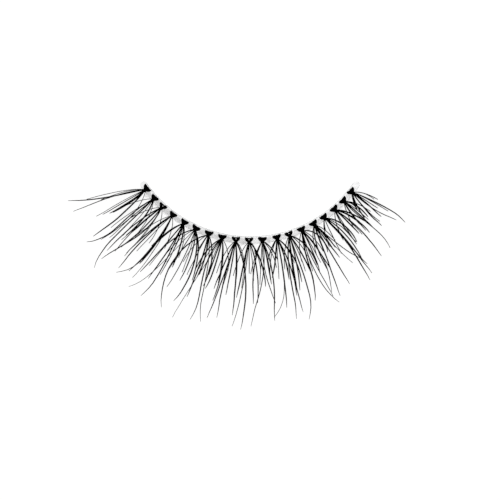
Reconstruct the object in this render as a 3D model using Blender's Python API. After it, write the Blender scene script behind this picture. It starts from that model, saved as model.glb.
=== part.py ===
"""A false eyelash strip: a clear curved band that carries a row of knotted lash clusters.

The band lies flat, its glue face on z = 0 and the middle of its arc at the origin. The arc is
hollow towards +Y. The lashes fan out on the other side, towards -Y, and curl up. Metres, +Z up.
"""
from collections import namedtuple
from math import cos, radians, sin

import bmesh
import bpy
from mathutils import Matrix, Vector

MM = 0.001

# Clear band
BAND_RADIUS = 17.5 * MM
BAND_HALF_SWEEP = radians(55.0)
BAND_WIDTH = 1.0 * MM
BAND_THICKNESS = 0.14 * MM
BAND_STEPS = 40

# Knots, each a bow tie that is wide over the band's hollow edge and narrow at its waist.
# The outline's columns are shares: across of the named width, out of the knot's length.
KNOT_WIDTH = 1.1 * MM
KNOT_LENGTH = 0.85 * MM
KNOT_THICKNESS = 0.36 * MM
KNOT_NOTCH = 0.1 * MM
WAIST_WIDTH = 0.42 * MM
SEAT_GAP = 0.03 * MM
Corner = namedtuple("Corner", "width across out")
KNOT_CORNERS = (
    Corner(KNOT_WIDTH, 0.36, -0.50),
    Corner(KNOT_WIDTH, 0.50, -0.38),
    Corner(WAIST_WIDTH, 0.50, 0.28),
    Corner(WAIST_WIDTH, 0.62, 0.50),
)

# Locks of hair
LASH_REACH = 12.5 * MM
LOCK_ROOT_RADIUS = 0.085 * MM
LOCK_TIP_RADIUS = 0.025 * MM
LOCK_STEPS = 7
SHORT_LOCK_STEPS = 4
CURL_HEIGHT = 4.4 * MM
CURL_POWER = 2.4

# Neighbouring clusters leave the band at unlike slopes, and so do the locks of one cluster,
# so that they pass over each other. Root heights are shares of the knot's thickness.
LEVEL_SLOPES = (-0.05, 0.09, 0.02)
SHORT_LOCK_RISES = (-0.05, -0.02, -0.05, -0.02)
SHORT_ROOT_HEIGHTS = (0.06, 0.14, 0.06, 0.14)
LONG_LOCK_RISES = (0.0, 0.09, 0.045, 0.135)
LONG_ROOT_HEIGHTS = (0.34, 0.50, 0.42, 0.58)

# Locks root inside the waist, this share of the knot's length out from its middle, and at
# most this share of the waist's width to either side
ROOT_OUT = 0.36
ROOT_ASIDE = 0.28

# The short locks of a cluster, as shares of the longest reach, and the leans of their fan
SHORT_REACHES = (0.34, 0.44, 0.38, 0.30)
FAN_AT_ROOT = (-34.0, 36.0)
FAN_AT_TIP = (-14.0, 8.0)

# Long locks of one cluster. A lean is an angle in degrees off the band's outward direction,
# minus towards the left end. The flick is what the last stretch turns beyond the tip's lean.
# The reach is a share of the longest reach, and the place a share of the half sweep.
Cluster = namedtuple("Cluster", "place first second third fourth")
Lock = namedtuple("Lock", "root_lean tip_lean flick reach")
CLUSTER_ROWS = (
    (-0.960, (-21, -36, 0, 0.83), (-26, -13, 0, 0.80), (12, -3, 0, 0.75), (4, -12, 0, 0.45)),
    (-0.862, (-11, 18, -65, 0.85), (2, -2, 38, 0.97), (-4, 2, 0, 0.62), (26, -8, 0, 0.48)),
    (-0.768, (-18, 0, 0, 0.74), (14, -42, 34, 0.85), (10, 0, 0, 0.65), (-9, -5, 0, 0.45)),
    (-0.662, (-17, -1, 0, 0.80), (7, -5, -45, 0.87), (8, -12, 0, 0.75), (-20, -8, 0, 0.62)),
    (-0.553, (-29, -6, 0, 0.63), (-8, -15, 0, 0.69), (5, 6, -28, 0.90), (25, 6, 0, 0.48)),
    (-0.448, (-10, -5, 0, 0.45), (5, -8, 0, 0.68), (30, -15, 0, 0.82), (36, 5, 0, 0.54)),
    (-0.336, (-48, 20, 0, 1.00), (5, -6, 0, 0.69), (20, -6, 30, 0.93), (33, -8, 0, 0.56)),
    (-0.224, (-43, -12, 0, 0.42), (-26, 33, -60, 0.94), (2, -14, 0, 0.56), (17, -10, 0, 0.67)),
    (-0.113, (-10, -19, 0, 0.88), (-12, -3, 0, 0.84), (8, 0, 0, 0.79), (26, -8, 0, 0.97)),
    (-0.008, (-12, -12, 0, 0.61), (-4, -17, 0, 0.92), (20, -4, 0, 0.67), (36, 3, 0, 0.52)),
    (0.099, (4, -42, 30, 0.93), (-26, 0, 0, 0.68), (17, -16, 14, 0.86), (-6, 20, 0, 0.68)),
    (0.218, (-14, -24, 0, 0.42), (0, -8, 0, 0.74), (16, -6, 10, 0.83), (35, 0, 0, 0.54)),
    (0.318, (-12, -7, 0, 0.64), (-21, 6, -24, 0.89), (2, 6, -42, 0.93), (18, 5, 0, 0.52)),
    (0.426, (-16, 6, -40, 0.76), (-8, 20, -20, 0.77), (-12, 14, 15, 0.87), (22, -18, 0, 0.74)),
    (0.534, (-26, 0, 0, 0.50), (-8, -11, 0, 0.80), (0, 3, 0, 0.73), (16, 32, 0, 0.61)),
    (0.631, (12, -11, 0, 0.82), (12, -2, 0, 0.77), (22, -6, 0, 0.59), (45, -8, 0, 0.44)),
    (0.736, (-16, 2, 0, 0.41), (15, -7, 0, 0.70), (30, 0, 0, 0.44), (42, 12, 0, 0.32)),
    (0.835, (-18, -3, 0, 0.29), (-4, 21, -48, 0.69), (4, 0, 0, 0.42), (30, -10, 0, 0.30)),
    (0.932, (-32, -18, 0, 0.30), (-13, -10, 0, 0.47), (-3, 14, 0, 0.55), (16, 8, -18, 0.64)),
)


def start_empty():
    """Remove whatever the file opened with."""
    for thing in list(bpy.data.objects):
        bpy.data.objects.remove(thing, do_unlink=True)


def make_collection(name):
    collection = bpy.data.collections.new(name)
    bpy.context.scene.collection.children.link(collection)
    return collection


def make_material(name, color, roughness, alpha=1.0):
    material = bpy.data.materials.new(name)
    material.use_nodes = True
    shader = material.node_tree.nodes["Principled BSDF"]
    shader.inputs["Base Color"].default_value = color
    shader.inputs["Roughness"].default_value = roughness
    shader.inputs["Metallic"].default_value = 0.0
    shader.inputs["Alpha"].default_value = alpha
    return material


def outline_curve(name, points, thickness):
    """A flat closed outline with a thickness, its middle plane on z = 0."""
    curve = bpy.data.curves.new(name, "CURVE")
    curve.dimensions = "2D"
    curve.fill_mode = "BOTH"
    curve.extrude = thickness / 2
    spline = curve.splines.new("POLY")
    spline.points.add(len(points) - 1)
    for point, place in zip(spline.points, points):
        point.co = (place[0], place[1], 0.0, 1.0)
    spline.use_cyclic_u = True
    return bpy.data.objects.new(name, curve)


def lock_curve(name, path, radii):
    """A tapered four-sided tube along a path."""
    curve = bpy.data.curves.new(name, "CURVE")
    curve.dimensions = "3D"
    curve.bevel_depth = 1.0
    curve.bevel_resolution = 0
    curve.use_fill_caps = True
    spline = curve.splines.new("POLY")
    spline.points.add(len(path) - 1)
    for point, place, radius in zip(spline.points, path, radii):
        point.co = (place.x, place.y, place.z, 1.0)
        point.radius = radius
    return bpy.data.objects.new(name, curve)


def curve_to_mesh(source, collection):
    """Swap a curve object for a closed mesh object of the same name and place."""
    collection.objects.link(source)
    bpy.context.view_layer.update()
    name = source.name
    depsgraph = bpy.context.evaluated_depsgraph_get()
    mesh = bpy.data.meshes.new_from_object(source.evaluated_get(depsgraph))
    place = source.matrix_world.copy()
    bpy.data.objects.remove(source, do_unlink=True)
    work = bmesh.new()
    work.from_mesh(mesh)
    bmesh.ops.remove_doubles(work, verts=work.verts, dist=0.001 * MM)
    bmesh.ops.recalc_face_normals(work, faces=work.faces)
    work.to_mesh(mesh)
    work.free()
    solid = bpy.data.objects.new(name, mesh)
    solid.matrix_world = place
    collection.objects.link(solid)
    return solid


def outward(angle):
    """The direction across the band at an angle from its middle, away from the hollow side."""
    return Vector((sin(angle), -cos(angle), 0.0))


def on_arc(radius, angle):
    """A point of an arc about the band's centre."""
    centre = Vector((0.0, BAND_RADIUS, 0.0))
    return centre + radius * outward(angle)


def make_band(collection):
    """A flat ribbon bent to an arc, with round ends."""
    half = BAND_WIDTH / 2
    points = []
    for step in range(BAND_STEPS + 1):
        angle = BAND_HALF_SWEEP * (2 * step / BAND_STEPS - 1)
        points.append(on_arc(BAND_RADIUS + half, angle))
    for side in (1, -1):
        end = on_arc(BAND_RADIUS, side * BAND_HALF_SWEEP)
        across = outward(side * BAND_HALF_SWEEP)
        along = Vector((-across.y, across.x, 0.0))
        if side == -1:
            for step in range(BAND_STEPS + 1):
                angle = BAND_HALF_SWEEP * (1 - 2 * step / BAND_STEPS)
                points.append(on_arc(BAND_RADIUS - half, angle))
        for turn in (45, 90, 135):
            swing = radians(turn)
            points.append(end + half * (side * cos(swing) * across + side * sin(swing) * along))
    band = outline_curve("band", points, BAND_THICKNESS)
    band.location.z = BAND_THICKNESS / 2
    return curve_to_mesh(band, collection)


def knot_outline():
    """A bow tie: x runs along the band and y out of its hollow, from the knot's middle."""
    notch = (0.0, -KNOT_LENGTH / 2 + KNOT_NOTCH)
    half = [(corner.width * corner.across, KNOT_LENGTH * corner.out) for corner in KNOT_CORNERS]
    mirrored = [(-x, y) for x, y in reversed(half)]
    return [notch] + half + mirrored


def make_knot(name, angle, collection):
    """The cluster's head, turned to face out of the band and seated just above it."""
    knot = outline_curve(name, [(x, -y) for x, y in reversed(knot_outline())], KNOT_THICKNESS)
    height = BAND_THICKNESS + SEAT_GAP + KNOT_THICKNESS / 2
    knot.matrix_world = Matrix.Translation(on_arc(BAND_RADIUS, angle) + Vector((0, 0, height)))
    knot.rotation_euler.z = angle
    return curve_to_mesh(knot, collection)


def lock_path(root, angle, lock, slope, steps):
    """Points from the root to the tip. The lean turns on the way, and every lock follows the
    same curl upwards, so that a short one ends lower down on it."""
    stride = lock.reach * LASH_REACH / steps
    place = root.copy()
    path = [root.copy()]
    for step in range(steps):
        middle = (step + 0.5) / steps
        lean = lock.root_lean + (lock.tip_lean - lock.root_lean) * middle + lock.flick * middle ** 4
        place = place + stride * outward(angle + radians(lean))
        share = lock.reach * (step + 1) / steps
        lift = slope * LASH_REACH * share * (1 - share / 2) + CURL_HEIGHT * share ** CURL_POWER
        path.append(Vector((place.x, place.y, root.z + lift)))
    return path


def short_locks():
    """The short hairs of a cluster, spread evenly over its fan."""
    last = len(SHORT_REACHES) - 1
    for order, reach in enumerate(SHORT_REACHES):
        share = order / last
        root_lean = FAN_AT_ROOT[0] + (FAN_AT_ROOT[1] - FAN_AT_ROOT[0]) * share
        tip_lean = FAN_AT_TIP[0] + (FAN_AT_TIP[1] - FAN_AT_TIP[0]) * share
        yield Lock(root_lean, tip_lean, 0, reach)


def lock_root(angle, lean, height_share):
    """Where a lock leaves the waist: the more it leans, the nearer to the waist's side."""
    widest = max(abs(end) for end in FAN_AT_ROOT)
    share = max(-1.0, min(1.0, lean / widest))
    along = Vector((cos(angle), sin(angle), 0.0))
    middle = on_arc(BAND_RADIUS + ROOT_OUT * KNOT_LENGTH, angle)
    place = middle + along * share * ROOT_ASIDE * WAIST_WIDTH
    lowest = BAND_THICKNESS + SEAT_GAP + LOCK_ROOT_RADIUS
    return Vector((place.x, place.y, lowest + KNOT_THICKNESS * height_share))


def fuse(head, locks, collection):
    """The head and all its locks as one closed body, in the head's place."""
    head.modifiers.new("fuse", "BOOLEAN")
    union = head.modifiers["fuse"]
    union.operation = "UNION"
    union.solver = "EXACT"
    union.operand_type = "COLLECTION"
    union.collection = locks
    bpy.context.view_layer.update()
    depsgraph = bpy.context.evaluated_depsgraph_get()
    mesh = bpy.data.meshes.new_from_object(head.evaluated_get(depsgraph))
    mesh.transform(head.matrix_world)
    name = head.name
    bpy.data.objects.remove(head, do_unlink=True)
    for lock in list(locks.objects):
        bpy.data.objects.remove(lock, do_unlink=True)
    mesh.name = name
    fused = bpy.data.objects.new(name, mesh)
    collection.objects.link(fused)
    return fused


def make_cluster(order, cluster, collection, scrap):
    """One knot fused with its long and short locks."""
    name = "lash_cluster_%02d" % (order + 1)
    angle = cluster.place * BAND_HALF_SWEEP
    slope = LEVEL_SLOPES[order % len(LEVEL_SLOPES)]
    knot = make_knot(name, angle, collection)
    planned = [
        (Lock(*columns), height, rise, LOCK_STEPS)
        for columns, height, rise in zip(cluster[1:], LONG_ROOT_HEIGHTS, LONG_LOCK_RISES)
    ]
    planned += [
        (lock, height, rise, SHORT_LOCK_STEPS)
        for lock, height, rise in zip(short_locks(), SHORT_ROOT_HEIGHTS, SHORT_LOCK_RISES)
    ]
    for number, (lock, height, rise, steps) in enumerate(planned):
        root = lock_root(angle, lock.root_lean, height)
        path = lock_path(root, angle, lock, slope + rise, steps)
        taper = (LOCK_TIP_RADIUS - LOCK_ROOT_RADIUS) / steps
        radii = [LOCK_ROOT_RADIUS + taper * step for step in range(steps + 1)]
        curve_to_mesh(lock_curve("lock_%d" % number, path, radii), scrap)
    return fuse(knot, scrap, collection)


def main():
    start_empty()
    strip = make_collection("false_eyelash_strip")
    scrap = make_collection("scrap")
    clear_film = make_material("clear_film", (0.86, 0.87, 0.88, 1.0), 0.2, alpha=0.35)
    lash_fibre = make_material("lash_fibre", (0.012, 0.011, 0.011, 1.0), 0.45)
    band = make_band(strip)
    band.data.materials.append(clear_film)
    for order, row in enumerate(CLUSTER_ROWS):
        lashes = make_cluster(order, Cluster(*row), strip, scrap)
        lashes.data.materials.clear()
        lashes.data.materials.append(lash_fibre)


main()
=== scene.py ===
# %% [markdown]
# # A wispy false eyelash strip
#
# A strip lash is a ribbon of clear film, a millimetre wide and bent to the curve of an eyelid.
# Small bundles of black filament are folded over it, pulled into a knot and sealed with glue.
# The hairs of each bundle then fan out, cross those of the neighbours and curl up at their tips.
#
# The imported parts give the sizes: a plain ribbon, and nineteen clusters of a few thick locks.
# This script keeps their places and their form, and dresses them with the real fine hairs.

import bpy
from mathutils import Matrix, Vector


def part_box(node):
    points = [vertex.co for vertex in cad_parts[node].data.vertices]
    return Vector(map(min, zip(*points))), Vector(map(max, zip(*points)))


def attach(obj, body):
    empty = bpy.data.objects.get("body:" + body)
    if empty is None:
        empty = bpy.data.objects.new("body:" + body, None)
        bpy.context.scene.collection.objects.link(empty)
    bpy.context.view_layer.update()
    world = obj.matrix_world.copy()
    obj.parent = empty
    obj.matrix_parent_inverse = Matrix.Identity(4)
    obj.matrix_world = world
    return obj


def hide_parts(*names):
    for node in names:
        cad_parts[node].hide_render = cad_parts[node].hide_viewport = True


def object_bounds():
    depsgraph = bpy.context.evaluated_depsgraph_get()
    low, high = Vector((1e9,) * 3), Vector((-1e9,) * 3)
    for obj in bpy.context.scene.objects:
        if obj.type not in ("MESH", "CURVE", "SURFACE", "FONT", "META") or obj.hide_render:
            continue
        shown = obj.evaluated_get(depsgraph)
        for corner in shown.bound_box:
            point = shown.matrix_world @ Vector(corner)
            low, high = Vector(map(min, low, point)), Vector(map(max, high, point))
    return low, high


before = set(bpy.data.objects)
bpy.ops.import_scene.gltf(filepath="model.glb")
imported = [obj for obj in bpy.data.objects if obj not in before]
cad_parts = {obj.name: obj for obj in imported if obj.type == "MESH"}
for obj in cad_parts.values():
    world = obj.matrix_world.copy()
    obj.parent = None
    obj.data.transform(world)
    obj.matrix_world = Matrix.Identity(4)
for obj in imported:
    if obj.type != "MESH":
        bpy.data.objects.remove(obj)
cad_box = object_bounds()
print("parts:", len(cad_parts), "box:", [tuple(round(x, 5) for x in corner) for corner in cad_box])

# %% Modules and units
import math
import random
from collections import namedtuple

import bmesh
import bpy
from mathutils import Vector

MM = 0.001
scene = bpy.context.scene

# %% [markdown]
# ## The camera
#
# The strip was photographed from straight above, lying on a white table. A picture pixel covers
# 0.135 mm there, so the whole picture is 67.5 mm wide. A long lens far away keeps the curled
# tips, which are a few millimetres nearer, from growing in the picture. It could be an
# orthographic camera, but a long lens is what a product photographer would use.

# %% Camera
PICTURE_PIXELS = 500
PIXEL_SIZE = 0.135 * MM
ORIGIN_ROW = 240
LENS = 300.0
SENSOR = 36.0
CLIP_NEAR = 0.01
CLIP_FAR = 10.0

picture_width = PICTURE_PIXELS * PIXEL_SIZE
camera_data = bpy.data.cameras.new("camera")
camera_data.lens = LENS
camera_data.sensor_width = SENSOR
camera_data.clip_start = CLIP_NEAR
camera_data.clip_end = CLIP_FAR
camera = bpy.data.objects.new("camera", camera_data)
scene.collection.objects.link(camera)
camera.location = (
    0.0,
    (ORIGIN_ROW - PICTURE_PIXELS / 2) * PIXEL_SIZE,
    picture_width * LENS / SENSOR,
)
scene.camera = camera
print("camera height in mm:", round(camera.location.z / MM, 1))

# %% [markdown]
# ## Table and light
#
# The picture's background is pure white, with no shadow that shows between the hairs. A brighter
# dome alone would burn the thin tips away, so the table glows a little itself, as the light
# table does that small clear things are photographed on. A dim even dome and one wide lamp do
# the rest. The Standard view keeps black hair black, where a film-like view would lift it.

# %% Table
TABLE_HALF = 2.0
TABLE_GAP = 0.01 * MM
TABLE_GLOW = 0.88

bpy.ops.mesh.primitive_plane_add(size=2 * TABLE_HALF, location=(0, 0, cad_box[0].z - TABLE_GAP))
table = bpy.context.object
table.name = "table"
table_paint = bpy.data.materials.new("white_table")
table_paint.use_nodes = True
table_shader = table_paint.node_tree.nodes["Principled BSDF"]
table_shader.inputs["Base Color"].default_value = (0.93, 0.93, 0.93, 1.0)
table_shader.inputs["Roughness"].default_value = 0.9
table_shader.inputs["Specular IOR Level"].default_value = 0.0
table_shader.inputs["Emission Color"].default_value = (1.0, 1.0, 1.0, 1.0)
table_shader.inputs["Emission Strength"].default_value = TABLE_GLOW
table.data.materials.append(table_paint)
print("table at height in mm:", round(table.location.z / MM, 3))

# %% Light
DOME_STRENGTH = 0.14
LAMP_POWER = 0.3
LAMP_SIZE = 0.6
LAMP_PLACE = (-0.35, 0.35, 0.5)

dome = bpy.data.worlds.new("white_dome")
dome.use_nodes = True
dome_nodes = dome.node_tree.nodes
dome_nodes["Background"].inputs["Color"].default_value = (1.0, 1.0, 1.0, 1.0)
seen_directly = dome_nodes.new("ShaderNodeLightPath").outputs["Is Camera Ray"]
dome_light = dome_nodes.new("ShaderNodeMapRange")
dome_light.inputs["To Min"].default_value = DOME_STRENGTH
dome_light.inputs["To Max"].default_value = 1.0
dome.node_tree.links.new(seen_directly, dome_light.inputs["Value"])
dome.node_tree.links.new(dome_light.outputs[0], dome_nodes["Background"].inputs["Strength"])
scene.world = dome
scene.view_settings.view_transform = "Standard"

lamp_data = bpy.data.lights.new("wide_lamp", "AREA")
lamp_data.energy = LAMP_POWER
lamp_data.size = LAMP_SIZE
lamp = bpy.data.objects.new("wide_lamp", lamp_data)
scene.collection.objects.link(lamp)
lamp.location = LAMP_PLACE
lamp.rotation_euler = (-Vector(LAMP_PLACE)).to_track_quat("-Z", "Y").to_euler()
lamp.visible_camera = False
print("lamp at distance in m:", round(Vector(LAMP_PLACE).length, 2))

# %% [markdown]
# ## Sizes of the strip
#
# The sizes repeat those of the imported parts. The band's thickness is read from the imported
# band and printed.

# %% Sizes
BAND_RADIUS = 17.5 * MM
BAND_HALF_SWEEP = math.radians(55.0)
BAND_WIDTH = 1.0 * MM
BAND_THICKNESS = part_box("band")[1].z

KNOT_WIDTH = 1.1 * MM
KNOT_LENGTH = 0.85 * MM
KNOT_THICKNESS = 0.36 * MM
WAIST_WIDTH = 0.42 * MM
SEAT_GAP = 0.03 * MM
KNOT_FLOOR = BAND_THICKNESS + SEAT_GAP

LASH_REACH = 12.5 * MM
LOCK_ROOT_RADIUS = 0.085 * MM
CURL_HEIGHT = 4.4 * MM
CURL_POWER = 2.4


def outward(angle):
    """The direction across the band at an angle from its middle, away from the hollow side."""
    return Vector((math.sin(angle), -math.cos(angle), 0.0))


def on_arc(radius, angle):
    """A point of an arc about the band's centre."""
    return Vector((0.0, BAND_RADIUS, 0.0)) + radius * outward(angle)


end = on_arc(BAND_RADIUS, BAND_HALF_SWEEP)
print("band thickness in mm:", round(BAND_THICKNESS / MM, 3))

# %% [markdown]
# ## The chart of hairs
#
# Each knot sends out long hairs, and no two clusters are alike, so the long ones are charted from
# the picture. A lean is in degrees off the band's outward direction, minus towards the left end.
# The lean turns from the root's to the tip's on the way, and the flick is what the last stretch
# turns beyond that. The reach is a share of the longest reach, and the weight says how thick a
# hair is at its root, measured in packed locks. The first four of each cluster follow the
# imported locks.

# %% Chart of the first four hairs
Cluster = namedtuple("Cluster", "place first second third fourth")
Hair = namedtuple("Hair", "root_lean tip_lean flick reach weight")
BOLD = 1.28
PLAIN = 1.1
FINE = 0.8
FAINT = 0.56
CLUSTER_ROWS = (
    (-0.960, (-21, -36, 0, 0.83, PLAIN), (-26, -13, 0, 0.80, FINE),
     (12, -3, 0, 0.75, BOLD), (4, -12, 0, 0.45, BOLD)),
    (-0.862, (-11, 18, -65, 0.85, PLAIN), (2, -2, 38, 0.97, PLAIN),
     (-4, 2, 0, 0.62, FAINT), (26, -8, 0, 0.48, BOLD)),
    (-0.768, (-18, 0, 0, 0.74, PLAIN), (14, -42, 34, 0.85, PLAIN),
     (10, 0, 0, 0.65, FAINT), (-9, -5, 0, 0.45, PLAIN)),
    (-0.662, (-17, -1, 0, 0.80, PLAIN), (7, -5, -45, 0.87, FINE),
     (8, -12, 0, 0.75, PLAIN), (-20, -8, 0, 0.62, PLAIN)),
    (-0.553, (-29, -6, 0, 0.63, BOLD), (-8, -15, 0, 0.69, PLAIN),
     (5, 6, -28, 0.90, PLAIN), (25, 6, 0, 0.48, BOLD)),
    (-0.448, (-10, -5, 0, 0.45, FINE), (5, -8, 0, 0.68, FINE),
     (30, -15, 0, 0.82, BOLD), (36, 5, 0, 0.54, PLAIN)),
    (-0.336, (-48, 20, 0, 1.00, PLAIN), (5, -6, 0, 0.69, BOLD),
     (20, -6, 30, 0.93, FINE), (33, -8, 0, 0.56, PLAIN)),
    (-0.224, (-43, -12, 0, 0.42, PLAIN), (-26, 33, -60, 0.94, PLAIN),
     (2, -14, 0, 0.56, BOLD), (17, -10, 0, 0.67, PLAIN)),
    (-0.113, (-10, -19, 0, 0.88, PLAIN), (-12, -3, 0, 0.84, PLAIN),
     (8, 0, 0, 0.79, BOLD), (26, -8, 0, 0.97, BOLD)),
    (-0.008, (-12, -12, 0, 0.61, BOLD), (-4, -17, 0, 0.92, FINE),
     (20, -4, 0, 0.67, PLAIN), (36, 3, 0, 0.52, BOLD)),
    (0.099, (4, -42, 30, 0.93, FINE), (-26, 0, 0, 0.68, PLAIN),
     (17, -16, 14, 0.86, PLAIN), (-6, 20, 0, 0.68, FINE)),
    (0.218, (-14, -24, 0, 0.42, BOLD), (0, -8, 0, 0.74, BOLD),
     (16, -6, 10, 0.83, PLAIN), (35, 0, 0, 0.54, BOLD)),
    (0.318, (-12, -7, 0, 0.64, BOLD), (-21, 6, -24, 0.89, PLAIN),
     (2, 6, -42, 0.93, PLAIN), (18, 5, 0, 0.52, BOLD)),
    (0.426, (-16, 6, -40, 0.76, BOLD), (-8, 20, -20, 0.77, FINE),
     (-12, 14, 15, 0.87, FINE), (22, -18, 0, 0.74, FINE)),
    (0.534, (-26, 0, 0, 0.50, PLAIN), (-8, -11, 0, 0.80, PLAIN),
     (0, 3, 0, 0.73, PLAIN), (16, 32, 0, 0.61, FINE)),
    (0.631, (12, -11, 0, 0.82, BOLD), (12, -2, 0, 0.77, PLAIN),
     (22, -6, 0, 0.59, PLAIN), (45, -8, 0, 0.44, BOLD)),
    (0.736, (-16, 2, 0, 0.41, PLAIN), (15, -7, 0, 0.70, PLAIN),
     (30, 0, 0, 0.44, BOLD), (42, 12, 0, 0.32, BOLD)),
    (0.835, (-18, -3, 0, 0.29, PLAIN), (-4, 21, -48, 0.69, FINE),
     (4, 0, 0, 0.42, BOLD), (30, -10, 0, 0.30, BOLD)),
    (0.932, (-32, -18, 0, 0.30, BOLD), (-13, -10, 0, 0.47, PLAIN),
     (-3, 14, 0, 0.55, FINE), (16, 8, -18, 0.64, PLAIN)),
)
clusters = [Cluster(*row) for row in CLUSTER_ROWS]
print("clusters:", len(clusters), "first hairs:", sum(len(cluster) - 1 for cluster in clusters))

# %% [markdown]
# Beyond those four, most knots hold a few more hairs that show one by one in the picture. They
# are charted the same way, under the number of their cluster.

# %% Chart of the further hairs
FURTHER_HAIRS = {
    1: ((-33, -22, 0, 0.63, FAINT), (8, -14, 0, 0.42, BOLD), (-5, -10, 0, 0.52, FINE)),
    2: ((-2, -6, 0, 0.70, FINE),),
    3: ((4, -10, 0, 0.60, PLAIN), (-12, 4, 0, 0.68, FINE)),
    4: ((12, -5, 0, 0.78, FAINT), (10, -7, 0, 0.62, BOLD)),
    5: ((3, -8, 0, 0.69, PLAIN), (12, 0, 0, 0.60, FINE)),
    6: ((-48, -25, 0, 0.36, PLAIN), (20, -6, 0, 0.57, PLAIN), (-18, -20, -25, 0.93, FAINT)),
    7: ((-15, -15, 0, 0.20, PLAIN), (14, -6, 0, 0.47, BOLD)),
    8: ((-17, -27, 12, 0.98, FAINT), (-8, -8, 0, 0.41, PLAIN)),
    9: ((-3, -5, 0, 0.58, PLAIN), (-20, -16, 0, 0.56, PLAIN)),
    10: ((1, 0, 0, 0.34, FINE), (52, 0, 0, 0.15, PLAIN)),
    11: ((10, 1, 0, 0.47, BOLD), (48, 18, 0, 0.25, PLAIN)),
    12: ((-42, -28, 0, 0.23, PLAIN), (0, -8, -55, 0.87, FAINT), (12, -4, 0, 0.46, BOLD)),
    13: ((48, 2, 0, 0.44, BOLD), (0, -12, 0, 0.60, PLAIN), (-10, -7, 0, 0.61, FINE)),
    14: ((6, -6, 0, 0.465, PLAIN), (18, 8, 0, 0.50, PLAIN), (65, -12, 0, 0.385, PLAIN)),
    15: ((6, 10, 0, 0.44, PLAIN), (12, 18, 0, 0.57, FAINT), (20, 4, 0, 0.33, BOLD)),
    16: ((-38, -20, 0, 0.13, PLAIN), (10, 8, 0, 0.40, BOLD), (8, 8, 0, 0.66, PLAIN)),
    17: ((8, 0, 0, 0.35, BOLD),),
    18: ((35, -15, 0, 0.16, BOLD),),
    19: ((-42, -30, 0, 0.19, BOLD), (5, -10, 0, 0.40, PLAIN),
         (16, 4, 0, 0.43, FINE), (40, 0, 0, 0.25, FAINT)),
}
print("further hairs:", sum(len(rows) for rows in FURTHER_HAIRS.values()))

# %% [markdown]
# The shortest and finest hairs can't be told apart in the picture, so a rule makes them: four
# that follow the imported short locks. To the left end of the strip they grow longer and finer.

# %% Hairs made by a rule
SHORT_REACHES = (0.34, 0.44, 0.38, 0.30)
SHORT_GROWTH = (1.34, 0.88)
LEAN_STRAY = 3.0
REACH_STRAY = 0.08
FAN_AT_ROOT = (-34.0, 36.0)
FAN_AT_TIP = (-14.0, 8.0)
HAIR_SEED = 19
draw = random.Random(HAIR_SEED)


def between(low, high, share):
    """The value that lies a share of the way from low to high."""
    return low + (high - low) * share


def short_hairs(cluster):
    """The four short hairs of a cluster, spread over its fan with a little stray."""
    last = len(SHORT_REACHES) - 1
    rightness = (cluster.place + 1) / 2
    growth = between(*SHORT_GROWTH, rightness)
    weight = between(FAINT, FINE, rightness)
    for order, reach in enumerate(SHORT_REACHES):
        share = order / last
        stray = draw.uniform(-LEAN_STRAY, LEAN_STRAY)
        root_lean = between(*FAN_AT_ROOT, share) + stray
        tip_lean = between(*FAN_AT_TIP, share) - stray
        reach = reach * growth * (1 + draw.uniform(-REACH_STRAY, REACH_STRAY))
        yield Hair(root_lean, tip_lean, 0, reach, weight)


print("by rule in each cluster:", len(SHORT_REACHES))

# %% [markdown]
# ## From the chart to centre lines
#
# A hair starts inside the knot's waist and walks outwards in short steps, turning its lean as it
# goes. The squeezed bundle makes it spring aside at first, without moving its tip. Its height
# follows one curl that all hairs share, so a short hair ends lower on it, as if all had been set
# over the same rod. Neighbouring clusters, and the hairs of one cluster, leave at slightly unlike
# slopes, so that most pass over each other instead of through.

# %% Centre lines of the hairs
LEVEL_SLOPES = (-0.05, 0.09, 0.02)
LONG_RISES = (0.0, 0.09, 0.045, 0.135)
LONG_HEIGHTS = (0.34, 0.50, 0.42, 0.58)
SHORT_RISES = (-0.05, -0.02, -0.05, -0.02)
SHORT_HEIGHTS = (0.06, 0.14, 0.06, 0.14)
LOOSE_RISES = (-0.02, 0.15)
LOOSE_HEIGHTS = (0.10, 0.60)
ROOT_OUT = 0.36
ROOT_ASIDE = 0.28
HAIR_STEPS = 14
Taper = namedtuple("Taper", "tip_radius power")
SHORT_TAPER = Taper(0.06 * MM, 9.0)
LONG_TAPER = Taper(0.027 * MM, 5.0)
FLICK_POWER = 4
LEAN_SPRING = 0.35
SPRING_POWER = 6


def hair_root(angle, lean, height_share):
    """Where a hair leaves the waist: the more it leans, the nearer to the waist's side."""
    share = max(-1.0, min(1.0, lean / FAN_AT_ROOT[1]))
    along = Vector((math.cos(angle), math.sin(angle), 0.0))
    middle = on_arc(BAND_RADIUS + ROOT_OUT * KNOT_LENGTH, angle)
    place = middle + along * share * ROOT_ASIDE * WAIST_WIDTH
    return place + Vector((0.0, 0.0, KNOT_FLOOR + LOCK_ROOT_RADIUS + KNOT_THICKNESS * height_share))


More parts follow.
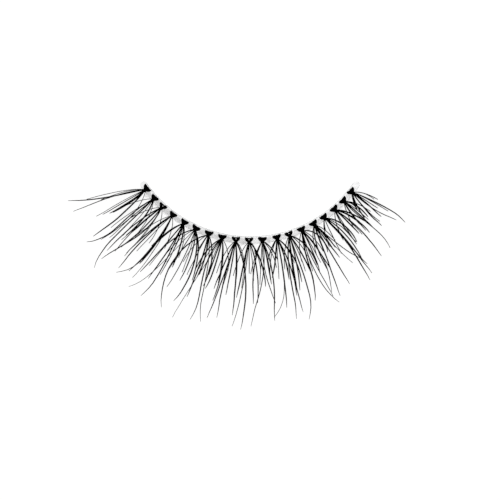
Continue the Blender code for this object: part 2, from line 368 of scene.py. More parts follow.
def hair_line(root, angle, hair, slope):
    """Points and radii of one hair. A short one ends blunt, and a long one thins out."""
    stride = hair.reach * LASH_REACH / HAIR_STEPS
    place = root.copy()
    points = [root.copy()]
    thick = LOCK_ROOT_RADIUS * hair.weight
    spring = LEAN_SPRING * hair.root_lean
    thin = between(SHORT_TAPER.tip_radius, LONG_TAPER.tip_radius, hair.reach)
    power = between(SHORT_TAPER.power, LONG_TAPER.power, hair.reach)
    radii = [thick]
    for step in range(HAIR_STEPS):
        middle = (step + 0.5) / HAIR_STEPS
        lean = between(hair.root_lean, hair.tip_lean, middle) + hair.flick * middle ** FLICK_POWER
        lean += spring * ((1 - middle) ** SPRING_POWER - 1 / (SPRING_POWER + 1))
        place = place + stride * outward(angle + math.radians(lean))
        gone = (step + 1) / HAIR_STEPS
        share = hair.reach * gone
        lift = slope * LASH_REACH * share * (1 - share / 2) + CURL_HEIGHT * share ** CURL_POWER
        points.append(Vector((place.x, place.y, root.z + lift)))
        radii.append(between(thick, thin, gone ** power))
    return points, radii


def planned_hairs(number, cluster):
    """Every hair of a cluster with its root's height and the rise of its slope."""
    for columns, height, rise in zip(cluster[1:], LONG_HEIGHTS, LONG_RISES):
        yield Hair(*columns), height, rise
    for hair, height, rise in zip(short_hairs(cluster), SHORT_HEIGHTS, SHORT_RISES):
        yield hair, height, rise
    for columns in FURTHER_HAIRS[number]:
        yield Hair(*columns), draw.uniform(*LOOSE_HEIGHTS), draw.uniform(*LOOSE_RISES)


def cluster_hairs(number, cluster):
    """The centre lines and radii of all hairs of a cluster."""
    angle = cluster.place * BAND_HALF_SWEEP
    slope = LEVEL_SLOPES[(number - 1) % len(LEVEL_SLOPES)]
    lines = []
    for hair, height, rise in planned_hairs(number, cluster):
        root = hair_root(angle, hair.root_lean, height)
        lines.append(hair_line(root, angle, hair, slope + rise))
    return lines


hair_lines = {number: cluster_hairs(number, cluster) for number, cluster in enumerate(clusters, 1)}
print("hairs in all:", sum(len(lines) for lines in hair_lines.values()))

# %% [markdown]
# ## Centre lines of the knots
#
# A knot is what the bundle does at the band: the filaments spread into a bow tie over the ribbon,
# fold down over its hollow edge, and are drawn together at a waist by two turns of thread. It
# could be one sculpted lump, but strands laid side by side keep the ridges that catch the light.

# %% Centre lines of the strands and the wrap
Stop = namedtuple("Stop", "out spread height")
KNOT_OUT = 0.09 * MM
HEAD_NOTCH = 0.05 * MM
STRAND_STOPS = (
    Stop(0.50, 0.28, 0.42),
    Stop(0.34, 0.22, 0.50),
    Stop(0.18, 0.42, 0.66),
    Stop(-0.08, 0.78, 0.76),
    Stop(-0.26, 0.92, 0.66),
    Stop(-0.40, 0.90, 0.42),
    Stop(-0.42, 0.88, 0.20),
)
STRAND_LAYERS = ((9, 0.0), (7, 0.18))
STRAND_RADIUS = 0.072 * MM
WRAP_OUT = 0.30
WRAP_TURNS = 2
WRAP_POINTS = 12
WRAP_PITCH = 0.085 * MM
WRAP_RADIUS = 0.045 * MM
OPEN_HEADS = (3, 9, 10, 13)
OPEN_SPREAD = 0.4
Knot = namedtuple("Knot", "angle tilt breadth")
KNOT_TILT = 7.0
KNOT_BREADTHS = (1.0, 1.12)
STRAND_SHIFT = 0.5
STRAND_STRAY = 0.07

knots = {}
for number, cluster in enumerate(clusters, 1):
    tilt = math.radians(draw.uniform(-KNOT_TILT, KNOT_TILT))
    knots[number] = Knot(cluster.place * BAND_HALF_SWEEP, tilt, draw.uniform(*KNOT_BREADTHS))


def knot_point(knot, across, out, height):
    """A point of a knot, across and out from its middle, at a height above the knot's seat."""
    across = across * knot.breadth
    turned_across = across * math.cos(knot.tilt) - out * math.sin(knot.tilt)
    turned_out = across * math.sin(knot.tilt) + out * math.cos(knot.tilt)
    along = Vector((math.cos(knot.angle), math.sin(knot.angle), 0.0))
    middle = on_arc(BAND_RADIUS + KNOT_OUT + turned_out, knot.angle)
    return middle + along * turned_across + Vector((0.0, 0.0, KNOT_FLOOR + height))


def strand_line(knot, side, lift, stray):
    """One strand of the head. Side runs from -1 at the left ear to 1 at the right ear."""
    points = []
    for stop in STRAND_STOPS:
        folded = max(0.0, -2 * stop.out)
        notch = HEAD_NOTCH * (1 - abs(side)) * folded
        across = side * stop.spread * KNOT_WIDTH / 2
        out = (stop.out + stray * folded) * KNOT_LENGTH + notch
        height = (stop.height + lift) * KNOT_THICKNESS
        points.append(knot_point(knot, across, out, height))
    return points, [STRAND_RADIUS] * len(points)


def wrap_line(knot):
    """The turns of thread round the waist."""
    points = []
    for step in range(WRAP_TURNS * WRAP_POINTS + 1):
        turn = 2 * math.pi * step / WRAP_POINTS
        across = (WAIST_WIDTH / 2 + WRAP_RADIUS / 2) * math.cos(turn)
        height = KNOT_THICKNESS / 2 + (KNOT_THICKNESS / 2 - WRAP_RADIUS) * math.sin(turn)
        out = WRAP_OUT * KNOT_LENGTH + WRAP_PITCH * (step / WRAP_POINTS - WRAP_TURNS / 2)
        points.append(knot_point(knot, across, out, height))
    return points, [WRAP_RADIUS] * len(points)


def knot_lines(number, knot):
    """The wrap and the strands of a knot. An open head leaves out the strands in its middle."""
    lines = [wrap_line(knot)]
    for count, lift in STRAND_LAYERS:
        for order in range(count):
            side = 2 * order / (count - 1) - 1
            if number in OPEN_HEADS and abs(side) < OPEN_SPREAD:
                continue
            shift = draw.uniform(-STRAND_SHIFT, STRAND_SHIFT) / count
            side = max(-1.0, min(1.0, side + shift))
            lines.append(strand_line(knot, side, lift, draw.uniform(-STRAND_STRAY, STRAND_STRAY)))
    return lines


print("lines in the first knot:", len(knot_lines(1, knots[1])))

# %% [markdown]
# ## One node tree for every fibre
#
# Hair, strand and wrap are all a thin tube along a centre line. One Geometry Nodes tree makes
# them: it resamples each line, lets it waver more towards the tip, stores how far along a point
# lies for the colour, and sweeps a small circle whose size is the line's own radius. The waver
# is noise with a seed, so that every run gives the same hairs.

# %% Helpers for node trees
def geometry_tree(name, inputs):
    """A Geometry Nodes tree with a geometry in, a geometry out and the named inputs."""
    tree = bpy.data.node_groups.new(name, "GeometryNodeTree")
    tree.interface.new_socket("Geometry", in_out="INPUT", socket_type="NodeSocketGeometry")
    for title, kind in inputs:
        tree.interface.new_socket(title, in_out="INPUT", socket_type=kind)
    tree.interface.new_socket("Geometry", in_out="OUTPUT", socket_type="NodeSocketGeometry")
    return tree


def add_node(tree, kind, links=None, **settings):
    """A node with its settings. Links maps an input to a value or to another node's output."""
    node = tree.nodes.new(kind)
    for name, value in settings.items():
        setattr(node, name, value)
    for name, source in (links or {}).items():
        if isinstance(source, bpy.types.NodeSocket):
            tree.links.new(source, node.inputs[name])
        else:
            node.inputs[name].default_value = source
    return node


def maths(tree, operation, *sources):
    """What one Math node puts out for its values or sockets."""
    return add_node(tree, "ShaderNodeMath", dict(enumerate(sources)), operation=operation).outputs[0]


def vector_maths(tree, operation, first, second):
    """What one Vector Math node puts out for two vectors."""
    node = add_node(tree, "ShaderNodeVectorMath", {0: first, 1: second}, operation=operation)
    return node.outputs[0]


def scaled(tree, vector, amount):
    """A vector times a number."""
    node = add_node(tree, "ShaderNodeVectorMath", {0: vector, "Scale": amount}, operation="SCALE")
    return node.outputs[0]


def level_noise(tree, waves, amount):
    """A level offset that wanders from place to place. The amount is its full swing."""
    noise = add_node(tree, "ShaderNodeTexNoise", {"Scale": waves, "Detail": 2.0})
    centred = vector_maths(tree, "SUBTRACT", noise.outputs["Color"], (0.5, 0.5, 0.5))
    level = vector_maths(tree, "MULTIPLY", centred, (1.0, 1.0, 0.0))
    return scaled(tree, level, amount)


def run_tree(source, tree, values):
    """Evaluate a tree on an object with its inputs set, and return the result as a plain mesh."""
    modifier = source.modifiers.new(tree.name, "NODES")
    modifier.node_group = tree
    for item in tree.interface.items_tree:
        if item.in_out == "INPUT" and item.name in values:
            modifier[item.identifier] = values[item.name]
    bpy.context.view_layer.update()
    depsgraph = bpy.context.evaluated_depsgraph_get()
    mesh = bpy.data.meshes.new_from_object(source.evaluated_get(depsgraph))
    bpy.data.objects.remove(source, do_unlink=True)
    return mesh


# %% The fibre tree
WAVER_POWER = 1.5

fibre_tree = geometry_tree("fibres", (
    ("Steps", "NodeSocketInt"),
    ("Sides", "NodeSocketInt"),
    ("Waver", "NodeSocketFloat"),
    ("Waves per Metre", "NodeSocketFloat"),
    ("Seed", "NodeSocketFloat"),
    ("Finish", "NodeSocketMaterial"),
))
given = fibre_tree.nodes.new("NodeGroupInput").outputs
resampled = add_node(fibre_tree, "GeometryNodeResampleCurve",
                     {"Curve": given["Geometry"], "Count": given["Steps"]})
gone_along = add_node(fibre_tree, "GeometryNodeSplineParameter").outputs["Factor"]
marked = add_node(fibre_tree, "GeometryNodeStoreNamedAttribute",
                  {"Geometry": resampled.outputs["Curve"], "Name": "along", "Value": gone_along},
                  data_type="FLOAT", domain="POINT")
waves = add_node(fibre_tree, "ShaderNodeTexNoise",
                 {"Scale": given["Waves per Metre"], "W": given["Seed"], "Detail": 1.0},
                 noise_dimensions="4D")
centred = vector_maths(fibre_tree, "SUBTRACT", waves.outputs["Color"], (0.5, 0.5, 0.5))
growing = maths(fibre_tree, "POWER", gone_along, WAVER_POWER)
amount = maths(fibre_tree, "MULTIPLY", growing, given["Waver"])
wavered = add_node(fibre_tree, "GeometryNodeSetPosition",
                   {"Geometry": marked.outputs["Geometry"],
                    "Offset": scaled(fibre_tree, centred, amount)})
circle = add_node(fibre_tree, "GeometryNodeCurvePrimitiveCircle",
                  {"Resolution": given["Sides"], "Radius": 1.0})
own_radius = add_node(fibre_tree, "GeometryNodeInputRadius").outputs["Radius"]
swept = add_node(fibre_tree, "GeometryNodeCurveToMesh",
                 {"Curve": wavered.outputs["Geometry"], "Profile Curve": circle.outputs["Curve"],
                  "Scale": own_radius, "Fill Caps": True})
smooth = add_node(fibre_tree, "GeometryNodeSetShadeSmooth", {"Geometry": swept.outputs["Mesh"]})
realized = add_node(fibre_tree, "GeometryNodeRealizeInstances", {"Geometry": smooth.outputs["Geometry"]})
finished = add_node(fibre_tree, "GeometryNodeSetMaterial",
                    {"Geometry": realized.outputs["Geometry"], "Material": given["Finish"]})
add_node(fibre_tree, "NodeGroupOutput", {"Geometry": finished.outputs["Geometry"]})
print("fibre tree nodes:", len(fibre_tree.nodes))

# %% [markdown]
# ## Finishes
#
# The filament is black satin nylon. Under a white dome even a weak gloss turns black to grey, so
# its specular level is low. Its tips are drawn thin and look a little browner. One shader group
# serves hair and knot: it gives the colour from root to tip, a mottled roughness and a fine
# grain. The knots are the same filament under clear glue, so they get a faint coat, and as no
# tip shows there, their black sits on the shader's own socket.

# %% The fibre shader group
TIP_TONE_POWER = 3.0
FILAMENT_BLACK = (0.002, 0.002, 0.002, 1.0)


def shader_group(name, inputs, outputs):
    """A shader node group with its named inputs, their usual values and its outputs."""
    group = bpy.data.node_groups.new(name, "ShaderNodeTree")
    for title, kind, value in inputs:
        socket = group.interface.new_socket(title, in_out="INPUT", socket_type=kind)
        socket.default_value = value
    for title, kind in outputs:
        group.interface.new_socket(title, in_out="OUTPUT", socket_type=kind)
    return group


def mixed_colour(tree, factor, first, second):
    """A mix of two colours. The node has an A and a B of each kind, so the kind picks them."""
    mix = add_node(tree, "ShaderNodeMix", {"Factor": factor}, data_type="RGBA")
    for label, source in (("A", first), ("B", second)):
        socket = [end for end in mix.inputs if end.name == label and end.type == "RGBA"][0]
        tree.links.new(source, socket)
    return [end for end in mix.outputs if end.type == "RGBA"][0]


fibre_group = shader_group("fibre_tone", (
    ("Root Colour", "NodeSocketColor", FILAMENT_BLACK),
    ("Tip Colour", "NodeSocketColor", (0.03, 0.024, 0.022, 1.0)),
    ("Mottle per Metre", "NodeSocketFloat", 2500.0),
    ("Roughness Low", "NodeSocketFloat", 0.34),
    ("Roughness High", "NodeSocketFloat", 0.55),
), (
    ("Colour", "NodeSocketColor"),
    ("Roughness", "NodeSocketFloat"),
    ("Grain", "NodeSocketFloat"),
))
given = fibre_group.nodes.new("NodeGroupInput").outputs
where = add_node(fibre_group, "ShaderNodeTexCoord").outputs["Object"]
share_along = add_node(fibre_group, "ShaderNodeAttribute", attribute_name="along").outputs["Fac"]
late = maths(fibre_group, "POWER", share_along, TIP_TONE_POWER)
tone = mixed_colour(fibre_group, late, given["Root Colour"], given["Tip Colour"])
mottle = add_node(fibre_group, "ShaderNodeTexNoise",
                  {"Vector": where, "Scale": given["Mottle per Metre"], "Detail": 2.0})
rough = add_node(fibre_group, "ShaderNodeMapRange",
                 {"Value": mottle.outputs["Fac"], "To Min": given["Roughness Low"],
                  "To Max": given["Roughness High"]})
add_node(fibre_group, "NodeGroupOutput",
         {"Colour": tone, "Roughness": rough.outputs[0], "Grain": mottle.outputs["Fac"]})
print("fibre group nodes:", len(fibre_group.nodes))

# %% Materials of hair and knot
HAIR_GRAIN = 0.01 * MM
KNOT_GRAIN = 0.02 * MM


def plain_material(name):
    """A material with a Principled BSDF, and the tree and shader at hand."""
    material = bpy.data.materials.new(name)
    material.use_nodes = True
    return material, material.node_tree, material.node_tree.nodes["Principled BSDF"]


def fibre_material(name, specular, coat, grain, brown_tips, group_values):
    """A black filament finish. The grain is a depth."""
    material, tree, shader = plain_material(name)
    shader.inputs["Base Color"].default_value = FILAMENT_BLACK
    shader.inputs["Specular IOR Level"].default_value = specular
    shader.inputs["Coat Weight"].default_value = coat
    shader.inputs["Coat Roughness"].default_value = 0.25
    group = tree.nodes.new("ShaderNodeGroup")
    group.node_tree = fibre_group
    for title, value in group_values.items():
        group.inputs[title].default_value = value
    if brown_tips:
        tree.links.new(group.outputs["Colour"], shader.inputs["Base Color"])
    tree.links.new(group.outputs["Roughness"], shader.inputs["Roughness"])
    relief = add_node(tree, "ShaderNodeBump",
                      {"Height": group.outputs["Grain"], "Strength": 0.3, "Distance": grain})
    tree.links.new(relief.outputs["Normal"], shader.inputs["Normal"])
    return material


lash_black = fibre_material(
    "lash_black", specular=0.04, coat=0.0, grain=HAIR_GRAIN, brown_tips=True, group_values={})
knot_black = fibre_material(
    "knot_black", specular=0.05, coat=0.02, grain=KNOT_GRAIN, brown_tips=False, group_values={
        "Mottle per Metre": 6000.0,
        "Roughness Low": 0.25,
        "Roughness High": 0.5,
    })
print("fibre materials:", lash_black.name, knot_black.name)

# %% [markdown]
# ## The hairs
#
# Each cluster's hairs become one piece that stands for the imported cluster. The tubes have five
# sides: at a fifth of a millimetre across, nobody sees more.

# %% Make the hairs of each cluster
HAIR_SIDES = 5
HAIR_WAVER = 0.5 * MM
HAIR_WAVES = 260.0


def fibre_curve(name, lines):
    """A curve object with one spline for each centre line, which carries the radii."""
    curve = bpy.data.curves.new(name, "CURVE")
    curve.dimensions = "3D"
    for points, radii in lines:
        spline = curve.splines.new("POLY")
        spline.points.add(len(points) - 1)
        for point, place, radius in zip(spline.points, points, radii):
            point.co = (place.x, place.y, place.z, 1.0)
            point.radius = radius
    source = bpy.data.objects.new(name, curve)
    scene.collection.objects.link(source)
    return source


def add_piece(name, mesh, slot, *nodes):
    """A finished mesh as a piece of the strip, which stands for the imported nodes."""
    mesh.name = name
    piece = bpy.data.objects.new(name, mesh)
    scene.collection.objects.link(piece)
    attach(piece, "root")
    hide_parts(*nodes)
    return piece


triangles = 0
for number, lines in hair_lines.items():
    source = fibre_curve("hair_lines_%02d" % number, lines)
    mesh = run_tree(source, fibre_tree, {
        "Steps": HAIR_STEPS, "Sides": HAIR_SIDES, "Waver": HAIR_WAVER,
        "Waves per Metre": HAIR_WAVES, "Seed": float(number), "Finish": lash_black,
    })
    add_piece("lash_hairs_%02d" % number, mesh, "lash_fibre", "lash_cluster_%02d" % number)
    mesh.calc_loop_triangles()
    triangles += len(mesh.loop_triangles)
print("hair triangles:", triangles)

# %% [markdown]
# ## The knots
#
# Under the strands lies a core with the bow tie's outline and rounded edges, so that no light
# comes through the bundle. A few heads in the picture are open in the middle, and there the core
# has a small hole.

# %% Core of a knot
Corner = namedtuple("Corner", "width across out")
CORE_CORNERS = (
    Corner(KNOT_WIDTH, 0.40, -0.42),
    Corner(KNOT_WIDTH, 0.45, -0.36),
    Corner(KNOT_WIDTH, 0.44, -0.20),
    Corner(WAIST_WIDTH, 0.40, 0.28),
    Corner(WAIST_WIDTH, 0.44, 0.42),
)
CORE_BEVEL = 0.05 * MM
CORE_HALF = 0.06 * MM
CORE_HEIGHT = 0.42
CORE_HOLE = 0.11 * MM
CORE_HOLE_OUT = -0.16
HOLE_POINTS = 8


def core_outline():
    """The bow tie of the core: x runs along the band and y out of its hollow."""
    notch = (0.0, CORE_CORNERS[0].out * KNOT_LENGTH + HEAD_NOTCH)
    half = [(corner.width * corner.across, KNOT_LENGTH * corner.out) for corner in CORE_CORNERS]
    mirrored = [(-x, y) for x, y in reversed(half)]
    return [notch] + half + mirrored


def hole_outline():
    """The small round hole in the core of an open head."""
    for step in range(HOLE_POINTS):
        turn = 2 * math.pi * step / HOLE_POINTS
        yield CORE_HOLE * math.cos(turn), CORE_HOLE * math.sin(turn) + CORE_HOLE_OUT * KNOT_LENGTH


def core_mesh(name, knot, is_open):
    """The core as a bevelled flat outline, turned to its place on the band."""
    curve = bpy.data.curves.new(name, "CURVE")
    curve.dimensions = "2D"
    curve.fill_mode = "BOTH"
    curve.extrude = CORE_HALF
    curve.bevel_depth = CORE_BEVEL
    curve.bevel_resolution = 1
    outlines = [core_outline()]
    if is_open:
        outlines.append(list(hole_outline()))
    for outline in outlines:
        spline = curve.splines.new("POLY")
        spline.points.add(len(outline) - 1)
        for point, (x, y) in zip(spline.points, outline):
            point.co = (x, -y, 0.0, 1.0)
        spline.use_cyclic_u = True
    source = bpy.data.objects.new(name, curve)
    scene.collection.objects.link(source)
    source.location = knot_point(knot, 0.0, 0.0, KNOT_THICKNESS * CORE_HEIGHT)
    source.rotation_euler.z = knot.angle - knot.tilt
    source.scale.x = knot.breadth
    bpy.context.view_layer.update()
    depsgraph = bpy.context.evaluated_depsgraph_get()
    mesh = bpy.data.meshes.new_from_object(source.evaluated_get(depsgraph))
    mesh.transform(source.matrix_world)
    bpy.data.objects.remove(source, do_unlink=True)
    return mesh


# %% Join the core and the strands of each knot
STRAND_STEPS = 20
STRAND_SIDES = 6
WELD = 0.001 * MM


def joined_mesh(name, meshes):
    """Several meshes as one, welded and with the faces turned outwards."""
    work = bmesh.new()
    for mesh in meshes:
        work.from_mesh(mesh)
    bmesh.ops.remove_doubles(work, verts=work.verts, dist=WELD)
    bmesh.ops.recalc_face_normals(work, faces=work.faces)
    result = bpy.data.meshes.new(name)
    work.to_mesh(result)
    work.free()
    return result


triangles = 0
for number, knot in knots.items():
    source = fibre_curve("knot_lines_%02d" % number, knot_lines(number, knot))
    strands = run_tree(source, fibre_tree, {
        "Steps": STRAND_STEPS, "Sides": STRAND_SIDES, "Waver": 0.0,
        "Waves per Metre": 1.0, "Seed": 0.0, "Finish": knot_black,
    })
    core = core_mesh("core_%02d" % number, knot, number in OPEN_HEADS)
    mesh = joined_mesh("knot_%02d" % number, (strands, core))
    mesh.materials.append(knot_black)
    mesh.shade_smooth()
    add_piece("lash_knot_%02d" % number, mesh, "lash_fibre", "lash_cluster_%02d" % number)
    mesh.calc_loop_triangles()
    triangles += len(mesh.loop_triangles)
print("knot triangles:", triangles)

# %% [markdown]
# ## The clear film
#
# The ribbon is drawn by nodes: a rectangle with rounded corners, swept along a circle's arc. Over
# the last half width at either end the section shrinks as a half circle does, so that the ends
# are round, as snipped film is. Noise moves its edges a little, because film that has been
# handled with glue is never quite even.

# %% The film tree
film_tree = geometry_tree("film", (
    ("Arc Radius", "NodeSocketFloat"),
    ("Half Sweep", "NodeSocketFloat"),
    ("Width", "NodeSocketFloat"),
    ("Thickness", "NodeSocketFloat"),
    ("Edge Radius", "NodeSocketFloat"),
    ("Unevenness", "NodeSocketFloat"),
    ("Waves per Metre", "NodeSocketFloat"),
    ("Finish", "NodeSocketMaterial"),
))
FILM_STATIONS = 300
END_SCALE = 0.12
given = film_tree.nodes.new("NodeGroupInput").outputs
half_width = maths(film_tree, "MULTIPLY", given["Width"], 0.5)
end_angle = maths(film_tree, "DIVIDE", half_width, given["Arc Radius"])
last_angle = maths(film_tree, "ADD", given["Half Sweep"], end_angle)
start_angle = maths(film_tree, "SUBTRACT", -math.pi / 2, last_angle)
sweep = maths(film_tree, "MULTIPLY", last_angle, 2.0)
passed = add_node(film_tree, "GeometryNodeSplineParameter").outputs["Factor"]
to_side = maths(film_tree, "ABSOLUTE", maths(film_tree, "SUBTRACT", passed, 0.5))
into_end = add_node(film_tree, "ShaderNodeMapRange",
                    {"Value": maths(film_tree, "MULTIPLY", to_side, sweep),
                     "From Min": given["Half Sweep"], "From Max": last_angle})
squared = maths(film_tree, "POWER", into_end.outputs[0], 2.0)
round_end = maths(film_tree, "SQRT", maths(film_tree, "SUBTRACT", 1.0, squared))
end_scale = maths(film_tree, "MAXIMUM", round_end, END_SCALE)
arc = add_node(film_tree, "GeometryNodeCurveArc",
               {"Resolution": FILM_STATIONS, "Radius": given["Arc Radius"],
                "Start Angle": start_angle, "Sweep Angle": sweep})
upright = add_node(film_tree, "GeometryNodeSetCurveNormal", {"Curve": arc.outputs["Curve"]}, mode="Z_UP")
section = add_node(film_tree, "GeometryNodeCurvePrimitiveQuadrilateral",
                   {"Width": given["Width"], "Height": given["Thickness"]})
rounded = add_node(film_tree, "GeometryNodeFilletCurve",
                   {"Curve": section.outputs["Curve"], "Radius": given["Edge Radius"], "Count": 3},
                   mode="POLY")
ribbon = add_node(film_tree, "GeometryNodeCurveToMesh",
                  {"Curve": upright.outputs["Curve"], "Profile Curve": rounded.outputs["Curve"],
                   "Scale": end_scale, "Fill Caps": True})
middle_height = maths(film_tree, "MULTIPLY", given["Thickness"], 0.5)
shift = add_node(film_tree, "ShaderNodeCombineXYZ", {"Y": given["Arc Radius"], "Z": middle_height})
seated = add_node(film_tree, "GeometryNodeTransform",
                  {"Geometry": ribbon.outputs["Mesh"], "Translation": shift.outputs[0]})
rippled = level_noise(film_tree, given["Waves per Metre"], given["Unevenness"])
uneven = add_node(film_tree, "GeometryNodeSetPosition",
                  {"Geometry": seated.outputs["Geometry"], "Offset": rippled})
film_real = add_node(film_tree, "GeometryNodeRealizeInstances", {"Geometry": uneven.outputs["Geometry"]})
film_done = add_node(film_tree, "GeometryNodeSetMaterial",
                     {"Geometry": film_real.outputs["Geometry"], "Material": given["Finish"]})
add_node(film_tree, "NodeGroupOutput", {"Geometry": film_done.outputs["Geometry"]})
print("film tree nodes:", len(film_tree.nodes))

# %% [markdown]
# The film is clear and a little milky, and so is the dried glue on it, so one shader group gives
# both their cloudy tone and how much shows through. On the film it also paints shade along both
# rims, a darker line where a rounded clear edge bends light away. Real transmission would need
# many light bounces for a film this thin, so alpha does the work.

# %% Film and glue finish
FILM_RELIEF = 0.03 * MM

cloud_group = shader_group("cloudy_film", (
    ("Dark Colour", "NodeSocketColor", (0.72, 0.73, 0.74, 1.0)),
    ("Light Colour", "NodeSocketColor", (0.88, 0.88, 0.89, 1.0)),
    ("Clouds per Metre", "NodeSocketFloat", 1800.0),
    ("Alpha Low", "NodeSocketFloat", 0.09),
    ("Alpha High", "NodeSocketFloat", 0.21),
    ("Arc Radius", "NodeSocketFloat", BAND_RADIUS),
    ("Rim Start", "NodeSocketFloat", 0.38 * MM),
    ("Rim End", "NodeSocketFloat", 0.48 * MM),
    ("Painted Rim Shade Alpha", "NodeSocketFloat", 0.2),
), (
    ("Colour", "NodeSocketColor"),
    ("Alpha", "NodeSocketFloat"),
    ("Relief", "NodeSocketFloat"),
))
given = cloud_group.nodes.new("NodeGroupInput").outputs
where = add_node(cloud_group, "ShaderNodeTexCoord").outputs["Object"]
clouds = add_node(cloud_group, "ShaderNodeTexNoise",
                  {"Vector": where, "Scale": given["Clouds per Metre"], "Detail": 3.0})
contrast = add_node(cloud_group, "ShaderNodeMapRange",
                    {"Value": clouds.outputs["Fac"], "From Min": 0.3, "From Max": 0.7})
cloud_tone = mixed_colour(cloud_group, contrast.outputs[0], given["Dark Colour"], given["Light Colour"])
see_through = add_node(cloud_group, "ShaderNodeMapRange",
                       {"Value": contrast.outputs[0], "To Min": given["Alpha High"],
                        "To Max": given["Alpha Low"]})
centre = add_node(cloud_group, "ShaderNodeCombineXYZ", {"Y": given["Arc Radius"]})
from_centre = vector_maths(cloud_group, "SUBTRACT", where, centre.outputs[0])
in_plane = vector_maths(cloud_group, "MULTIPLY", from_centre, (1.0, 1.0, 0.0))
reach = add_node(cloud_group, "ShaderNodeVectorMath", {0: in_plane}, operation="LENGTH")
off_middle = maths(cloud_group, "SUBTRACT", reach.outputs["Value"], given["Arc Radius"])
# Painted shade: more alpha of the grey film along both rims, where a rounded clear edge looks dark.
painted_rim_shade = add_node(cloud_group, "ShaderNodeMapRange",
               {"Value": maths(cloud_group, "ABSOLUTE", off_middle), "From Min": given["Rim Start"],
                "From Max": given["Rim End"], "To Max": given["Painted Rim Shade Alpha"]})
alpha = add_node(cloud_group, "ShaderNodeMath",
                 {0: see_through.outputs[0], 1: painted_rim_shade.outputs[0]}, operation="ADD", use_clamp=True)
add_node(cloud_group, "NodeGroupOutput",
         {"Colour": cloud_tone, "Alpha": alpha.outputs[0], "Relief": clouds.outputs["Fac"]})


def film_material(name, roughness, group_values):
    """A clear glossy finish with clouds in it."""
    material, tree, shader = plain_material(name)
    shader.inputs["Roughness"].default_value = roughness
    shader.inputs["Specular IOR Level"].default_value = 0.4
    shader.inputs["Coat Weight"].default_value = 0.3
    shader.inputs["Coat Roughness"].default_value = 0.1
    group = tree.nodes.new("ShaderNodeGroup")
    group.node_tree = cloud_group
    for title, value in group_values.items():
        group.inputs[title].default_value = value
    tree.links.new(group.outputs["Colour"], shader.inputs["Base Color"])
    tree.links.new(group.outputs["Alpha"], shader.inputs["Alpha"])
    relief = add_node(tree, "ShaderNodeBump",
                      {"Height": group.outputs["Relief"], "Strength": 0.4, "Distance": FILM_RELIEF})
    tree.links.new(relief.outputs["Normal"], shader.inputs["Normal"])
    return material


clear_film = film_material("clear_film", roughness=0.2, group_values={})
dried_glue = film_material("dried_glue", roughness=0.15, group_values={
    "Dark Colour": (0.74, 0.70, 0.71, 1.0),
    "Light Colour": (0.90, 0.88, 0.88, 1.0),
    "Clouds per Metre": 3000.0,
    "Alpha Low": 0.03,
    "Alpha High": 0.2,
    "Painted Rim Shade Alpha": 0.0,
})
print("film materials:", clear_film.name, dried_glue.name)

# %% Make the film
FILM_EDGE_RADIUS = 0.05 * MM
FILM_UNEVENNESS = 0.08 * MM
FILM_WAVES = 700.0
FILM_CREASE = math.radians(50)

host = bpy.data.objects.new("film_host", bpy.data.meshes.new("film_host"))
scene.collection.objects.link(host)
film_mesh = run_tree(host, film_tree, {
    "Arc Radius": BAND_RADIUS, "Half Sweep": BAND_HALF_SWEEP, "Width": BAND_WIDTH,
    "Thickness": BAND_THICKNESS, "Edge Radius": FILM_EDGE_RADIUS, "Unevenness": FILM_UNEVENNESS,
    "Waves per Metre": FILM_WAVES, "Finish": clear_film,
})
film_work = bmesh.new()
film_work.from_mesh(film_mesh)
bmesh.ops.recalc_face_normals(film_work, faces=film_work.faces)
film_work.to_mesh(film_mesh)
film_work.free()
film_mesh.shade_smooth()
film_mesh.set_sharp_from_angle(angle=FILM_CREASE)
band_film = add_piece("band_film", film_mesh, "clear_band", "band")
print("film size in mm:", [round(x / MM, 2) for x in band_film.dimensions])

# %% [markdown]
# ## Dried glue
#
# Between two knots the glue has run out along the film and dried to a thin clear drop. Nodes
# place them: a point in each gap carries its own turn, a flat round drop is set on each point
# with a seeded size, and noise then pulls its outline out of round, as a dried drop's is.

# %% The glue tree
glue_tree = geometry_tree("glue_drops", (
    ("Drop Width", "NodeSocketFloat"),
    ("Drop Length", "NodeSocketFloat"),
    ("Drop Height", "NodeSocketFloat"),
    ("Unevenness", "NodeSocketFloat"),
    ("Waves per Metre", "NodeSocketFloat"),
    ("Seed", "NodeSocketInt"),
    ("Finish", "NodeSocketMaterial"),
))
given = glue_tree.nodes.new("NodeGroupInput").outputs
ball = add_node(glue_tree, "GeometryNodeMeshUVSphere", {"Segments": 32, "Rings": 12, "Radius": 1.0})
drop_size = add_node(glue_tree, "ShaderNodeCombineXYZ",
                     {"X": given["Drop Width"], "Y": given["Drop Length"], "Z": given["Drop Height"]})
vary = add_node(glue_tree, "FunctionNodeRandomValue", {2: 0.85, 3: 1.1, "Seed": given["Seed"]})
varied = scaled(glue_tree, drop_size.outputs[0], vary.outputs[1])
turn = add_node(glue_tree, "GeometryNodeInputNamedAttribute", {"Name": "turn"}, data_type="FLOAT")
turned = add_node(glue_tree, "ShaderNodeCombineXYZ", {"Z": turn.outputs[0]})
drops = add_node(glue_tree, "GeometryNodeInstanceOnPoints",
                 {"Points": given["Geometry"], "Instance": ball.outputs["Mesh"],
                  "Rotation": turned.outputs[0], "Scale": varied})
drops_real = add_node(glue_tree, "GeometryNodeRealizeInstances", {"Geometry": drops.outputs["Instances"]})
pulled = level_noise(glue_tree, given["Waves per Metre"], given["Unevenness"])
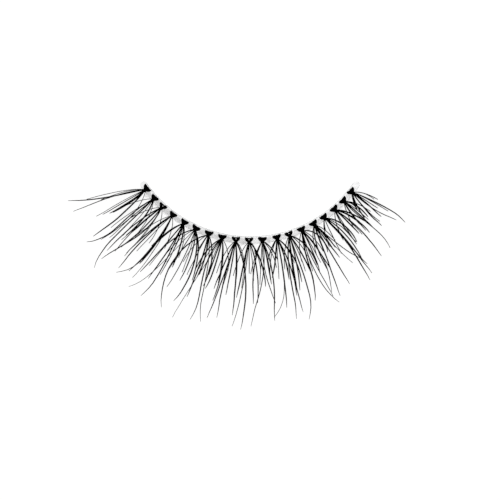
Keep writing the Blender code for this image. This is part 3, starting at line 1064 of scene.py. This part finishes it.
drops_uneven = add_node(glue_tree, "GeometryNodeSetPosition",
                        {"Geometry": drops_real.outputs["Geometry"], "Offset": pulled})
drops_smooth = add_node(glue_tree, "GeometryNodeSetShadeSmooth",
                        {"Geometry": drops_uneven.outputs["Geometry"]})
drops_done = add_node(glue_tree, "GeometryNodeSetMaterial",
                      {"Geometry": drops_smooth.outputs["Geometry"], "Material": given["Finish"]})
add_node(glue_tree, "NodeGroupOutput", {"Geometry": drops_done.outputs["Geometry"]})
print("glue tree nodes:", len(glue_tree.nodes))

# %% Make the drops
GLUE_OUT = 0.26 * MM
GLUE_STRAY = 0.08 * MM
DROP_WIDTH = 0.60 * MM
DROP_LENGTH = 0.48 * MM
DROP_HEIGHT = 0.07 * MM
DROP_UNEVENNESS = 0.5 * MM
DROP_WAVES = 1400.0
DROP_SEED = 4

spots = []
for left, right in zip(clusters, clusters[1:]):
    angle = (left.place + right.place) / 2 * BAND_HALF_SWEEP
    swing = draw.uniform(-GLUE_STRAY, GLUE_STRAY) / BAND_RADIUS
    out = BAND_RADIUS + GLUE_OUT + draw.uniform(-GLUE_STRAY, GLUE_STRAY)
    spots.append((on_arc(out, angle + swing), angle))
glue_points = bpy.data.meshes.new("glue_points")
glue_points.from_pydata([place + Vector((0, 0, BAND_THICKNESS)) for place, angle in spots], [], [])
turns = glue_points.attributes.new("turn", "FLOAT", "POINT")
turns.data.foreach_set("value", [angle for place, angle in spots])
host = bpy.data.objects.new("glue_host", glue_points)
scene.collection.objects.link(host)
glue_mesh = run_tree(host, glue_tree, {
    "Drop Width": DROP_WIDTH, "Drop Length": DROP_LENGTH, "Drop Height": DROP_HEIGHT,
    "Unevenness": DROP_UNEVENNESS, "Waves per Metre": DROP_WAVES, "Seed": DROP_SEED,
    "Finish": dried_glue,
})
add_piece("dried_glue", glue_mesh, "clear_band", "band")
print("glue drops:", len(spots))

# %% [markdown]
#
# The dressed strip may stand a little outside the imported parts' box, but not by much. That box,
# found before the strip was dressed, is printed.

# %% Print the imported parts' box
print("cad box in mm:", [[round(x / MM, 2) for x in corner] for corner in cad_box])
